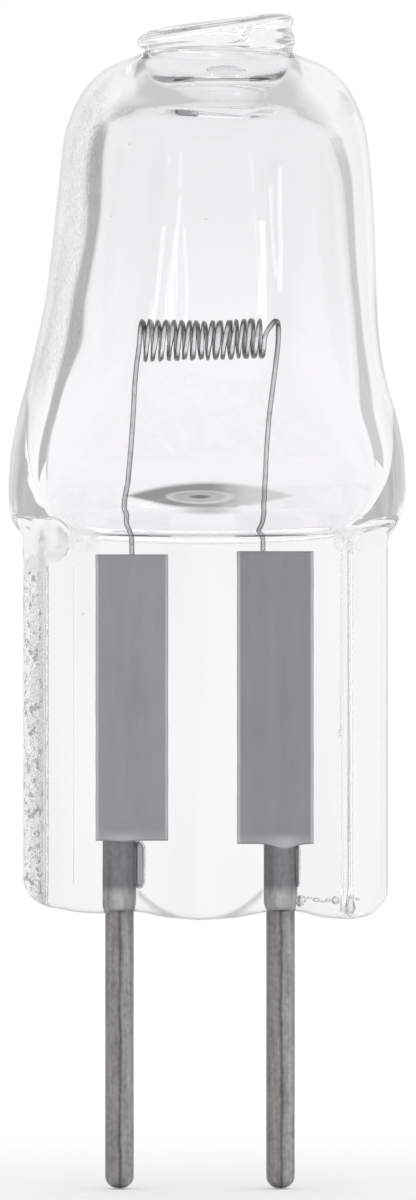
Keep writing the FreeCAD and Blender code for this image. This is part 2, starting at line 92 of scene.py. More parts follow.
def spread(points, pieces, weight):
    """Points at even steps along a run of points, closer where the weight is more, the last one left out."""
    marks = [0.0]
    for first, second in zip(points, points[1:]):
        marks.append(marks[-1] + math.dist(first, second) * weight((first[0] + second[0]) / 2.0))
    found, at = [], 0
    for step in range(pieces):
        mark = marks[-1] * step / pieces
        while at < len(marks) - 2 and marks[at + 1] < mark:
            at += 1
        length = marks[at + 1] - marks[at]
        part = (mark - marks[at]) / length if length else 0.0
        found.append(tuple(a + (b - a) * part for a, b in zip(points[at], points[at + 1])))
    return found


def rising(bands):
    """Heights at even steps up through bands of low end, high end and count of steps."""
    heights = [bands[0][0]]
    for low, high, count in bands:
        heights += [low + (high - low) * step / count for step in range(1, count + 1)]
    return heights


def uneven(x, y, z):
    """Smooth noise from -1 to 1, the same at each run."""
    return noise.noise(Vector((x, y, z)))


def wrap_rings(bm, rings):
    """Wrap a grid into a closed skin whose cross rows are the given rings; returns its vertices."""
    around, rows = len(rings[0]), len(rings) - 1
    made = bmesh.ops.create_grid(bm, x_segments=around, y_segments=rows, size=1.0)["verts"]
    for vert in made:
        column = round((vert.co.x + 1.0) / 2.0 * around) % around
        row = round((vert.co.y + 1.0) / 2.0 * rows)
        vert.co = Vector(rings[row][column]) * MM
    bmesh.ops.remove_doubles(bm, verts=made, dist=1e-8)
    return [vert for vert in made if vert.is_valid]


def finish_piece(bm, name, material, stands_for):
    """Turn a bmesh into a smooth-shaded piece that rides on the bulb and stands for a node of the frame."""
    for face in bm.faces:
        face.smooth = True
    mesh = bpy.data.meshes.new(name)
    bm.to_mesh(mesh)
    bm.free()
    piece = bpy.data.objects.new(name, mesh)
    bpy.context.scene.collection.objects.link(piece)
    mesh.materials.append(material)
    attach(piece, "root")
    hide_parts(stands_for)
    return piece


# The quartz from outside: height, left edge, right edge and half depth.
BULB_OUTSIDE = [
    (9.00, -4.385, 4.646, 1.20),
    (9.35, -4.380, 4.650, 1.36),
    (9.54, -4.400, 4.700, 1.56),
    (9.70, -4.540, 4.830, 1.78),
    (9.94, -4.680, 4.960, 2.06),
    (10.34, -4.755, 5.085, 2.42),
    (10.73, -4.775, 5.120, 2.68),
    (11.53, -4.735, 5.090, 3.10),
    (11.93, -4.670, 5.030, 3.28),
    (12.72, -4.510, 4.850, 3.56),
    (13.12, -4.390, 4.720, 3.68),
    (13.91, -4.190, 4.540, 3.86),
    (14.71, -4.010, 4.450, 3.98),
    (15.50, -3.850, 4.410, 4.03),
    (16.70, -3.700, 4.380, 4.04),
    (18.29, -3.530, 4.300, 3.91),
    (19.48, -3.390, 4.170, 3.77),
    (19.88, -3.270, 4.070, 3.67),
    (20.27, -3.110, 3.920, 3.51),
    (20.67, -2.870, 3.690, 3.28),
    (21.07, -2.470, 3.320, 2.89),
    (21.25, -2.170, 3.050, 2.61),
    (21.40, -1.790, 2.680, 2.22),
    (21.50, -1.530, 2.430, 1.96),
    (21.56, -1.430, 2.320, 1.86),
]

# The sealed hollow: height, left edge, right edge and half depth.
HOLLOW = [
    (9.72, -3.120, 3.420, 0.30),
    (9.80, -3.230, 3.540, 0.46),
    (10.00, -3.380, 3.680, 0.66),
    (10.30, -3.540, 3.880, 0.92),
    (10.70, -3.690, 4.120, 1.34),
    (11.10, -3.770, 4.260, 1.76),
    (11.50, -3.760, 4.280, 2.06),
    (12.00, -3.660, 4.200, 2.34),
    (12.97, -3.370, 3.960, 2.72),
    (14.66, -2.900, 3.720, 3.04),
    (16.65, -2.650, 3.620, 3.10),
    (18.30, -2.500, 3.500, 2.98),
    (19.10, -2.400, 3.360, 2.85),
    (19.55, -2.280, 3.220, 2.70),
    (19.90, -2.060, 2.980, 2.46),
    (20.15, -1.800, 2.740, 2.20),
    (20.40, -1.530, 2.470, 1.93),
    (20.65, -1.290, 2.210, 1.68),
    (20.90, -1.090, 1.980, 1.46),
    (21.10, -0.930, 1.790, 1.28),
    (21.22, -0.740, 1.560, 1.08),
    (21.31, -0.440, 1.220, 0.74),
    (21.37, 0.000, 0.780, 0.34),
    (21.38, 0.360, 0.400, 0.02),
]
HOLLOW_ROOF = (0.38, 0.0, 0.002)

# The neck and the flattened end of the sealed exhaust tube.
TIP = [
    # left edge, right edge, half depth, height at the left, height at the right
    (-1.400, 2.310, 1.810, 21.58, 21.61),
    (-1.370, 2.330, 1.760, 21.60, 21.68),
    (-1.400, 2.380, 1.780, 21.63, 21.78),
    (-1.490, 2.375, 1.860, 21.67, 21.89),
    (-1.550, 2.330, 1.930, 21.73, 22.02),
    (-1.580, 2.270, 1.970, 21.80, 22.13),
    (-1.560, 2.310, 1.970, 21.88, 22.22),
    (-1.500, 2.345, 1.930, 21.96, 22.31),
    (-1.400, 2.335, 1.850, 22.03, 22.39),
    (-1.250, 2.270, 1.730, 22.085, 22.445),
    (-1.020, 2.130, 1.520, 22.14, 22.475),
    (-0.700, 1.900, 1.250, 22.19, 22.475),
    (-0.300, 1.500, 0.850, 22.24, 22.44),
    (0.100, 1.000, 0.430, 22.29, 22.40),
    (0.400, 0.700, 0.140, 22.33, 22.37),
    (0.550, 0.550, 0.000, 22.35, 22.35),
]
TIP_FILL_DEPTH, TIP_FILL_TOP = 1.95, 21.75
TIP_LUMP, TIP_LUMP_X = 0.05, 1.75

# The pinched seal.
PINCH_LEFT, PINCH_RIGHT = -4.385, 4.646
LEFT_RAIL, RIGHT_RAIL = -4.02, 3.88
LEFT_RUN, RIGHT_RUN = 0.22, 0.38
RAIL_HALF, WEB_HALF = 1.48, 1.10
RIM_ROUND = 0.30
BASE_RISE, BASE_ROUND = 0.26, 0.32
SCOOP_RISE, SCOOP_REACH, SCOOP_CUT = 0.85, 1.45, 0.35
CORNER_LEFT, CORNER_RIGHT, CORNERS_END = 0.85, 0.70, 2.0
MERGE_LOW, MERGE_HIGH = 9.20, 10.20

# The underside between and beside the pins: place across, height.
UNDERSIDE = [
    (-4.40, 0.34),
    (-3.60, 0.30),
    (-3.00, 0.20),
    (-2.40, 0.17),
    (-2.00, 0.24),
    (-1.60, 0.22),
    (-0.80, 0.07),
    (0.00, 0.01),
    (0.80, 0.06),
    (1.60, 0.20),
    (2.00, 0.26),
    (2.50, 0.21),
    (3.10, 0.07),
    (3.70, 0.04),
    (4.10, 0.10),
    (4.65, 0.16),
]
UNDERSIDE_REACH = 1.8

# How the hot-worked quartz departs from even forms.
BULB_AXIS = 0.3
WALL_UNEVEN, HOLLOW_UNEVEN = 0.008, 0.02
KNUCKLE_X, KNUCKLE_Z = -3.66, 9.42
KNUCKLE_WIDE, KNUCKLE_TALL = 0.56, 0.66
KNUCKLE_FRONT, KNUCKLE_BACK = 0.40, 0.20
CRINKLE_END, CRINKLE_LEVEL = -3.84, 0.8
CRINKLE_DEEP, CRINKLE_ASIDE = 0.05, 0.022

# How finely the skins are divided: the rows of the underside, then low end, high end and steps of each band.
GLASS_AROUND = 240
CURVE_STEPS = 180
SIDE_WEIGHT = 2.0
FLOOR_INSET = 0.05
FLOOR_SHARES = (0.0, 0.25, 0.5, 0.75)
HOLLOW_SHARES = (0.0, 0.35, 0.7)
LOW_BAND, LOW_STEPS = 1.2, 20
OUTSIDE_BANDS = [(LOW_BAND, 9.0, 72), (9.0, 10.40, 32), (10.40, 19.48, 48), (19.48, 21.56, 32)]
HOLLOW_BANDS = [(9.72, 11.0, 28), (11.0, 19.3, 36), (19.3, 21.38, 40)]


def rim_distance(x, z, left, right):
    """How far a point of the pinch lies inside its outline from the front."""
    inside = min(x - left, right - x)
    if x < left + CORNER_LEFT and z < CORNER_LEFT:
        inside = CORNER_LEFT - math.hypot(x - left - CORNER_LEFT, z - CORNER_LEFT)
    if x > right - CORNER_RIGHT and z < CORNER_RIGHT:
        inside = CORNER_RIGHT - math.hypot(x - right + CORNER_RIGHT, z - CORNER_RIGHT)
    return max(inside, 0.0)


def pinch_half(x, z, left, right):
    """Half the pinch's thickness: two rails, a pressed web between them and a rounded rim."""
    web = ease(LEFT_RAIL, LEFT_RAIL + LEFT_RUN, x) * (1.0 - ease(RIGHT_RAIL - RIGHT_RUN, RIGHT_RAIL, x))
    half = RAIL_HALF + (WEB_HALF - RAIL_HALF) * web
    inside = min(rim_distance(x, z, left, right), RIM_ROUND)
    rim_loss = RIM_ROUND - math.sqrt(max(RIM_ROUND**2 - (RIM_ROUND - inside) ** 2, 0.0))
    rise = min(z / BASE_RISE, 1.0)
    base_loss = BASE_ROUND * (1.0 - math.sqrt(1.0 - (1.0 - rise) ** 2))
    return half - math.hypot(rim_loss, base_loss)


def bulb_half(x, left, right, depth):
    """Half the blown bulb's thickness: an oval."""
    reach = (2.0 * x - left - right) / (right - left)
    return depth * math.sqrt(max(1.0 - reach * reach, 0.0))


def outside_edges(z):
    """The left and right edge of the quartz and its half depth at a height."""
    left, right, depth = along(BULB_OUTSIDE, z)
    if z < BULB_OUTSIDE[0][0]:
        left, right = PINCH_LEFT, PINCH_RIGHT
    if z < CORNER_LEFT:
        left += CORNER_LEFT - math.sqrt(CORNER_LEFT**2 - (CORNER_LEFT - z) ** 2)
    if z < CORNER_RIGHT:
        right -= CORNER_RIGHT - math.sqrt(CORNER_RIGHT**2 - (CORNER_RIGHT - z) ** 2)
    return left, right, depth


def closed_ring(left, right, half, z):
    """A level ring through a half-thickness curve, from its left point round the front, finer near the sides."""
    bends = [0.5 - 0.5 * math.cos(math.pi * step / CURVE_STEPS) for step in range(CURVE_STEPS + 1)]
    front = [(left + (right - left) * bend, -half(left + (right - left) * bend)) for bend in bends]

    def weight(x):
        return 1.0 + SIDE_WEIGHT * ease(0.70, 0.80, abs(2.0 * x - left - right) / (right - left))

    quarter, middle = GLASS_AROUND // 4, CURVE_STEPS // 2
    front_side = spread([(left, 0.0)] + front[: middle + 1], quarter, weight)
    front_side += spread(front[middle:] + [(right, 0.0)], quarter, weight)
    back_side = [(right, 0.0)] + [(x, -y) for x, y in front_side[:0:-1]]
    return [(x, y, z) for x, y in front_side + back_side]


def outside_ring(z):
    """A ring of the outer skin: the pressed slab below, the blown oval above and one merging into the other between."""
    left, right, depth = outside_edges(z)
    merge = ease(MERGE_LOW, MERGE_HIGH, z)
    low_left = min(left, PINCH_LEFT) if z > CORNERS_END else PINCH_LEFT
    low_right = max(right, PINCH_RIGHT) if z > CORNERS_END else PINCH_RIGHT

    def half(x):
        slab = pinch_half(x, z, low_left, low_right) if merge < 1.0 else 0.0
        oval = bulb_half(x, left, right, depth) if merge > 0.0 else 0.0
        return slab + (oval - slab) * merge

    return closed_ring(left, right, half, z)


def tip_rings():
    """The rings of the sealed tip, pressed askew and lumpy at its right."""
    rings = []
    for left, right, depth, low, high in TIP:
        ring = []
        for index in range(GLASS_AROUND):
            angle = math.pi + 2.0 * math.pi * index / GLASS_AROUND
            swing = math.cos(angle)
            fill = (TIP_FILL_DEPTH - depth) * ease(0.1, 0.8, swing) if low < TIP_FILL_TOP else 0.0
            x = (left + right) / 2.0 + (right - left) / 2.0 * swing
            y = (depth + fill) * math.sin(angle)
            z = (low + high) / 2.0 + (high - low) / 2.0 * swing
            lump = hump(TIP_LUMP_X, 0.45, x) * hump(0.0, 1.3, y) * ease(21.9, 22.3, z)
            ring.append((x, y, z + TIP_LUMP * lump))
        rings.append(ring)
    return rings


def outside_relief(x, y, z):
    """Where a point of the outer skin goes once the blown wall, the pressed rails and the underside are uneven."""
    # the blown wall
    if z > 9.8:
        thin = 0.5 + 0.5 * uneven(x * 0.5, y * 0.5, z * 0.35)
        shrink = 1.0 - WALL_UNEVEN * thin * ease(9.8, 11.0, z)
        x, y = BULB_AXIS + (x - BULB_AXIS) * shrink, y * shrink
    # the knuckle at the left shoulder
    knuckle = 1.0 - ease(0.25, 1.0, math.hypot((x - KNUCKLE_X) / KNUCKLE_WIDE, (z - KNUCKLE_Z) / KNUCKLE_TALL))
    y += math.copysign(KNUCKLE_FRONT if y < 0 else KNUCKLE_BACK, y) * knuckle * ease(0.0, 0.6, abs(y))
    # the crinkles of the left rail
    rail = (1.0 - ease(LEFT_RAIL, CRINKLE_END, x)) * ease(0.3, 0.9, z) * (1.0 - ease(8.6, 9.1, z))
    crinkle = uneven(x * 4.0, y * 3.0, z * 3.2) + 0.6 * uneven(x * 8.0, y * 6.0, z * 7.0)
    y -= math.copysign(CRINKLE_DEEP * (CRINKLE_LEVEL + crinkle) * rail, y) * ease(0.0, 0.5, abs(y))
    x += CRINKLE_ASIDE * (CRINKLE_LEVEL + crinkle) * rail
    # the scoop in the front face between the pins
    if y < 0.0 and z < SCOOP_RISE + 0.4:
        off_middle = abs(x)
        scoop = SCOOP_RISE * (off_middle / SCOOP_REACH) ** 2 * (1.0 - ease(0.95, 1.40, off_middle))
        y *= 1.0 - SCOOP_CUT * max(1.0 - z / (scoop + 1e-6), 0.0) ** 0.8
    # the wavy underside
    z += along(UNDERSIDE, x)[0] * (1.0 - ease(0.0, UNDERSIDE_REACH, z))
    return x, y, z


def quartz_outside(bm, rim):
    """The outer skin, from the seam of the underside up to the flattened tip."""
    floor_ring = outside_ring(0.0)
    rings = []
    for share in FLOOR_SHARES:
        inset = 1.0 - FLOOR_INSET * (1.0 - share)
        rings.append([(x * inset, y * share, z) for x, y, z in floor_ring])
    heights = [LOW_BAND * (step / LOW_STEPS) ** 1.5 for step in range(LOW_STEPS)] + rising(OUTSIDE_BANDS)
    rings += [outside_ring(height) for height in heights]
    rings += tip_rings()
    for vert in wrap_rings(bm, rings):
        # painted shade: the lowest 0.14 mm of the outer skin carries a value that greys the bottom rim
        vert[rim] = 1.0 - ease(0.0, 0.14, vert.co.z / MM)
        vert.co = Vector(outside_relief(*(vert.co / MM))) * MM


def quartz_hollow(bm):
    """The skin of the sealed hollow, from its narrow floor up into the neck."""

    def ring_at(z, share=1.0):
        left, right, depth = along(HOLLOW, z)
        ring = closed_ring(left, right, lambda x: bulb_half(x, left, right, depth), z)
        return [(x, y * share, z) for x, y, z in ring]

    rings = [ring_at(HOLLOW[0][0], share) for share in HOLLOW_SHARES]
    rings += [ring_at(height) for height in rising(HOLLOW_BANDS)]
    roof_x, roof_y, roof_rise = HOLLOW_ROOF
    rings.append([(roof_x, roof_y, rings[-1][0][2] + roof_rise)] * GLASS_AROUND)
    for vert in wrap_rings(bm, rings):
        x, y, z = vert.co / MM
        shrink = 1.0 - HOLLOW_UNEVEN * uneven(x * 0.6 + 7.0, y * 0.6, z * 0.4) * ease(9.8, 11.5, z)
        vert.co = Vector((BULB_AXIS + (x - BULB_AXIS) * shrink, y * shrink, z)) * MM


# Air in the quartz: pockets beside the pins, greyed on their skins, seeds, a flat bubble in the neck, a chain of
# bubbles at the lower right, and thin drawn-out lines, most of them in the right rail.
AIR_POCKETS = [
    # middle, half sizes of the rounded ends, half length between them, grey on the skin
    ((-1.500, -0.02, 1.38), (0.16, 0.18, 0.24), 0.36, 1.0),
    ((2.440, -0.02, 1.38), (0.07, 0.18, 0.20), 0.36, 1.0),
    ((3.560, 0.20, 4.66), (0.050, 0.04, 0.06), 0.03, 0.0),
    ((-2.900, -0.30, 7.60), (0.025, 0.02, 0.03), 0.0, 0.0),
    ((-2.060, -2.50, 17.40), (0.035, 0.03, 0.035), 0.0, 0.0),
    ((0.155, -3.55, 17.30), (0.045, 0.03, 0.030), 0.0, 0.0),
    ((-1.610, -2.60, 19.15), (0.030, 0.03, 0.040), 0.0, 0.0),
    ((0.620, -2.05, 20.72), (0.460, 0.14, 0.180), 0.0, 0.0),
    ((2.510, -0.72, 0.52), (0.135, 0.10, 0.115), 0.0, 0.0),
    ((2.710, -0.72, 0.57), (0.080, 0.04, 0.032), 0.0, 0.0),
    ((2.890, -0.72, 0.52), (0.100, 0.06, 0.056), 0.0, 0.0),
    ((3.050, -0.72, 0.48), (0.070, 0.04, 0.030), 0.0, 0.0),
    ((3.180, -0.72, 0.51), (0.080, 0.06, 0.050), 0.0, 0.0),
    ((3.370, -0.72, 0.51), (0.115, 0.09, 0.105), 0.0, 0.0),
    ((3.540, -0.72, 0.33), (0.045, 0.04, 0.070), 0.0, 0.0),
    ((3.700, -0.72, 0.30), (0.070, 0.05, 0.065), 0.0, 0.0),
    ((3.920, -0.72, 0.54), (0.050, 0.04, 0.040), 0.0, 0.0),
]
AIR_LINES = [
    # place across, depth, low end, high end, radius
    (3.560, 0.20, 4.70, 9.00, 0.014),
    (3.690, -0.45, 0.60, 9.05, 0.010),
    (4.380, 0.30, 1.10, 8.70, 0.012),
    (-3.140, 0.40, 0.90, 8.80, 0.008),
]
AIR_LINE_TAPER = 0.6
RAIL_SEEDS = 36
SEED_ACROSS, SEED_SIZE, SEED_STRETCH = -4.10, 0.030, 1.8
SEED_LOW, SEED_RUN = 0.7, 8.2


def quartz_air(bm, pocket_grey):
    """Small sealed hollows inside the quartz."""
    for middle, sizes, length, greyed in AIR_POCKETS:
        pocket = bmesh.ops.create_uvsphere(bm, u_segments=20, v_segments=15, radius=1.0)["verts"]
        bmesh.ops.scale(bm, verts=pocket, vec=Vector(sizes) * MM)
        for sign in (-1.0, 1.0):
            rounded_end = [vert for vert in pocket if vert.co.z * sign > 0.0]
            bmesh.ops.translate(bm, verts=rounded_end, vec=(0.0, 0.0, sign * length * MM))
        bmesh.ops.translate(bm, verts=pocket, vec=Vector(middle) * MM)
        for vert in pocket:
            vert[pocket_grey] = greyed
    for across, depth, low, high, radius in AIR_LINES:
        line = bmesh.ops.create_cone(
            bm,
            cap_ends=True,
            segments=8,
            radius1=radius * MM,
            radius2=radius * AIR_LINE_TAPER * MM,
            depth=(high - low) * MM,
        )["verts"]
        bmesh.ops.translate(bm, verts=line, vec=Vector((across, depth, (low + high) / 2.0)) * MM)
    for count in range(RAIL_SEEDS):
        share = (count + 0.5) / RAIL_SEEDS
        across = SEED_ACROSS + 0.13 * uneven(count * 1.7, 0.3, 0.0)
        depth = 0.9 * uneven(count * 2.3, 5.0, 1.0)
        size = SEED_SIZE + 0.022 * uneven(count * 3.1, 9.0, 2.0)
        seed = bmesh.ops.create_icosphere(bm, subdivisions=1, radius=size * MM)["verts"]
        bmesh.ops.scale(bm, verts=seed, vec=(1.0, 1.0, SEED_STRETCH))
        bmesh.ops.translate(bm, verts=seed, vec=Vector((across, depth, SEED_LOW + SEED_RUN * share)) * MM)


def make_quartz(material):
    """The quartz: its outer skin, with the skins of the hollow and of the trapped air facing inward."""
    bm = bmesh.new()
    inner = bm.verts.layers.float.new("inner_skin")
    pocket_grey = bm.verts.layers.float.new("greyed_pocket")
    rim = bm.verts.layers.float.new("bottom_rim_shade")
    quartz_outside(bm, rim)
    bmesh.ops.recalc_face_normals(bm, faces=bm.faces)
    outside_faces = set(bm.faces)
    quartz_hollow(bm)
    for vert in bm.verts:
        vert[inner] = 0.0 if any(face in outside_faces for face in vert.link_faces) else 1.0
    quartz_air(bm, pocket_grey)
    inward_faces = [face for face in bm.faces if face not in outside_faces]
    bmesh.ops.recalc_face_normals(bm, faces=inward_faces)
    bmesh.ops.reverse_faces(bm, faces=inward_faces)
    return finish_piece(bm, "quartz_envelope", material, stands_for="glass_envelope")


# Filament: one wire, coiled by a spin that also advances, with a leg drawn out of each end.
WIRE_RADIUS, WIRE_SIDES = 0.060, 10
# LEG_CREST gives the legs one even value of the coil's painted crest highlight.
LEG_SWELL, LEG_CREST, LEG_STEP = 1.05, 0.70, 0.08
COIL_RADIUS = 0.455
COIL_PITCH = 0.19
COIL_TURNS, STEPS_A_TURN = 16, 26
COIL_LEFT = -1.52
COIL_HEIGHT = 14.49
COIL_LOOSE, COIL_SHIFT, COIL_SETTLE = 0.08, 0.045, 0.8
LEG_PLANE = -0.214
LEFT_LEG = [
    (-1.535, -0.455, 14.30),
    (-1.580, -0.455, 13.90),
    (-1.640, -0.440, 13.00),
    (-1.675, -0.400, 11.80),
    (-1.720, -0.340, 10.80),
    (-1.800, -0.300, 10.40),
    (-1.730, -0.250, 9.95),
    (-1.690, LEG_PLANE, 9.60),
    (-1.690, LEG_PLANE, 9.20),
    (-1.690, LEG_PLANE, 8.36),
]
RIGHT_LEG = [
    (1.560, -0.430, 14.64),
    (1.680, -0.330, 14.82),
    (1.780, -0.140, 14.93),
    (1.830, 0.080, 14.92),
    (1.855, 0.260, 14.78),
    (1.850, 0.360, 14.45),
    (1.800, 0.400, 13.90),
    (1.700, 0.360, 12.90),
    (1.580, 0.260, 11.60),
    (1.540, 0.060, 10.60),
    (1.450, -0.140, 10.02),
    (1.520, -0.225, 9.78),
    (1.560, LEG_PLANE, 9.55),
    (1.560, LEG_PLANE, 9.20),
    (1.560, LEG_PLANE, 8.36),
]


def draw_out(bm, ring, start, heading, points, crest):
    """Draw a wire's open end along points, turning the end square to each step; returns the last ring."""
    here, facing = start, heading
    for point in points:
        step = point - here
        edges = {edge for vert in ring for edge in vert.link_edges if edge.is_boundary}
        grown = bmesh.ops.extrude_edge_only(bm, edges=list(edges))["geom"]
        ring = [item for item in grown if isinstance(item, bmesh.types.BMVert)]
        turn = facing.rotation_difference(step).to_matrix()
        bmesh.ops.rotate(bm, verts=ring, cent=here, matrix=turn)
        bmesh.ops.translate(bm, verts=ring, vec=step)
        if here is start:
            swell = Matrix.Translation(point) @ Matrix.Scale(LEG_SWELL, 4) @ Matrix.Translation(-point)
            bmesh.ops.transform(bm, verts=ring, matrix=swell)
        for vert in ring:
            vert[crest] = LEG_CREST
        here, facing = point, step
    return ring


def leg_points(start, points):
    """A leg's points with softly bent runs between them, in metres."""
    stations = [(0.0, *start)]
    for point in points:
        stations.append((stations[-1][0] + math.dist(stations[-1][1:], point), *point))
    count = int(stations[-1][0] / LEG_STEP)
    return [Vector(along(stations, stations[-1][0] * step / count)) * MM for step in range(1, count + 1)]


def make_filament(material):
    """The coil, its turns a little loose and shifted, and the two legs."""
    bm = bmesh.new()
    crest = bm.verts.layers.float.new("crest")
    start = Vector((COIL_LEFT, -COIL_RADIUS, COIL_HEIGHT))
    steps = STEPS_A_TURN * COIL_TURNS
    climb = Vector((COIL_PITCH / (2 * math.pi * COIL_RADIUS), 0.0, 1.0)).normalized()
    ring = bmesh.ops.create_circle(bm, segments=WIRE_SIDES, radius=WIRE_RADIUS * MM)["verts"]
    square_to_climb = Vector((0, 0, 1)).rotation_difference(climb).to_matrix()
    bmesh.ops.rotate(bm, verts=ring, cent=(0, 0, 0), matrix=square_to_climb)
    bmesh.ops.translate(bm, verts=ring, vec=start * MM)
    bmesh.ops.spin(
        bm,
        geom=ring + bm.edges[:],
        cent=(0.0, 0.0, COIL_HEIGHT * MM),
        axis=(-1.0, 0.0, 0.0),
        dvec=(COIL_PITCH * COIL_TURNS / steps * MM, 0.0, 0.0),
        angle=2 * math.pi * COIL_TURNS,
        steps=steps,
        use_merge=False,
    )
    for vert in bm.verts:
        turn = (vert.co.x / MM - COIL_LEFT) / COIL_PITCH
        reach = math.hypot(vert.co.y / MM, vert.co.z / MM - COIL_HEIGHT)
        # painted highlight: how far a vertex lies out from the coil's axis, which lightens the outer crest of each turn
        vert[crest] = 0.5 + 0.5 * (reach - COIL_RADIUS) / WIRE_RADIUS
        settled = ease(0.0, COIL_SETTLE, turn) * ease(COIL_TURNS, COIL_TURNS - COIL_SETTLE, turn)
        loose = 1.0 + COIL_LOOSE * uneven(turn * 1.3, 2.0, 4.0) * settled
        vert.co.x += COIL_SHIFT * MM * uneven(turn * 2.3, vert.co.z * 900.0, 8.0) * settled
        vert.co.y *= loose
        vert.co.z = COIL_HEIGHT * MM + (vert.co.z - COIL_HEIGHT * MM) * loose
    ends = [vert for vert in bm.verts if any(edge.is_boundary for edge in vert.link_edges)]
    split = (COIL_LEFT + COIL_PITCH * COIL_TURNS / 2) * MM
    left_ring = [vert for vert in ends if vert.co.x < split]
    right_ring = [vert for vert in ends if vert.co.x > split]
    end = start + Vector((COIL_PITCH * COIL_TURNS, 0.0, 0.0))
    left_end = draw_out(bm, left_ring, start * MM, -climb, leg_points(start, LEFT_LEG), crest)
    right_end = draw_out(bm, right_ring, end * MM, climb.copy(), leg_points(end, RIGHT_LEG), crest)
    for ring in (left_end, right_end):
        bmesh.ops.contextual_create(bm, geom=ring)
    bmesh.ops.recalc_face_normals(bm, faces=bm.faces)
    return finish_piece(bm, "coiled_filament", material, stands_for="filament")


# Foils.
FOIL_BACK, FOIL_MIDDLE, FOIL_THICK = -0.27, 0.018, 0.022
FOIL_LOW = {"left": 1.98, "right": 1.90}
FOIL_TOP = {"left": 9.08, "right": 9.16}
FOIL_HALF = {"left": 0.90, "right": 0.95}
FOIL_CENTRE = {"left": -1.69, "right": 1.87}
FOIL_DIP = {"left": 0.03, "right": 0.13}
FOIL_COLUMNS, FOIL_ROWS = 40, 140
FOIL_BULGE, FOIL_WAVE, FOIL_HEM = 0.06, 0.007, 0.010
FEATHER_START = 0.94

# Pins.
PIN_CENTRE = {"left": -2.0, "right": 2.0}
PIN_RADIUS, SHANK_WIDE, SHANK_FLAT, SHANK_START = 0.36, 0.425, 0.30, 0.24
PIN_END, PIN_TOP, PIN_ROUND = -6.66, 2.96, 0.30
PIN_AROUND = 56
ROUND_STEPS, FREE_STEPS, SHANK_STEPS = 8, 90, 30
STEP_LOW, STEP_HIGH, STEP_ROWS = 0.05, 0.03, 8
FLAT_START, FLAT_CLEAR = 1.96, 0.002
DRAWN_SIZE, DRAWN_MARKS, DRAWN_PITS = 0.984, 0.012, 0.004


def make_foil(side, material):
    """A thin rolled ribbon with feathered edges, bulged a little over the weld to its pin."""
    bm = bmesh.new()
    edge = bm.verts.layers.float.new("feathered_edge")
    weld_highlight = bm.verts.layers.float.new("weld")
    grid = bmesh.ops.create_grid(bm, x_segments=FOIL_COLUMNS, y_segments=FOIL_ROWS, size=1.0)["verts"]
    low, top, pin = FOIL_LOW[side], FOIL_TOP[side], PIN_CENTRE[side]
    for vert in grid:
        reach = abs(vert.co.x)
        x = FOIL_CENTRE[side] + vert.co.x * FOIL_HALF[side]
        z = low + (top - low) * (vert.co.y + 1.0) / 2.0
        vert[edge] = 1.0 if reach > FEATHER_START else 0.0
        over_pin = hump(pin + 0.08, 0.33, x)
        z -= FOIL_DIP[side] * over_pin * (1.0 - ease(low, low + 0.8, z))
        # the weld band: the weld's paler tone and a painted highlight over the pin's bulge
        vert[weld_highlight] = (0.35 + 0.65 * over_pin) * (1.0 - ease(low + 0.06, low + 0.30, z))
        bulge = FOIL_BULGE * over_pin * (1.0 - ease(low, low + 0.55, z))
        wave = FOIL_WAVE * uneven(x * 1.3, z * 0.8, pin)
        hem = FOIL_HEM * uneven(z * 1.6, pin, 3.0) * ease(0.6, 1.0, reach)
        vert.co = Vector((x + hem, FOIL_BACK - FOIL_MIDDLE - bulge + wave, z)) * MM
    bmesh.ops.recalc_face_normals(bm, faces=bm.faces)
    bmesh.ops.solidify(bm, geom=bm.faces[:], thickness=FOIL_THICK * MM)
    bmesh.ops.recalc_face_normals(bm, faces=bm.faces)
    return finish_piece(bm, f"{side}_rolled_foil", material, stands_for=f"{side}_foil")


def pin_rows():
    """Radius and height of a pin's rings, from its rounded end up to the top of its shank."""
    rows = [(0.0, PIN_END), (PIN_RADIUS - PIN_ROUND, PIN_END)]
    for step in range(1, ROUND_STEPS + 1):
        turn = math.pi / 2 * step / ROUND_STEPS
        rows.append((PIN_RADIUS - PIN_ROUND * (1 - math.sin(turn)), PIN_END + PIN_ROUND * (1 - math.cos(turn))))
    heights = rising([(PIN_END + PIN_ROUND, 0.0, FREE_STEPS)])[1:]
    heights += rising([
        (SHANK_START - STEP_LOW, SHANK_START + STEP_HIGH, STEP_ROWS),
        (SHANK_START + STEP_HIGH, PIN_TOP, SHANK_STEPS),
    ])
    rows += [(PIN_RADIUS, height) for height in heights]
    return rows + [(PIN_RADIUS - 0.05, PIN_TOP), (0.0, PIN_TOP)]


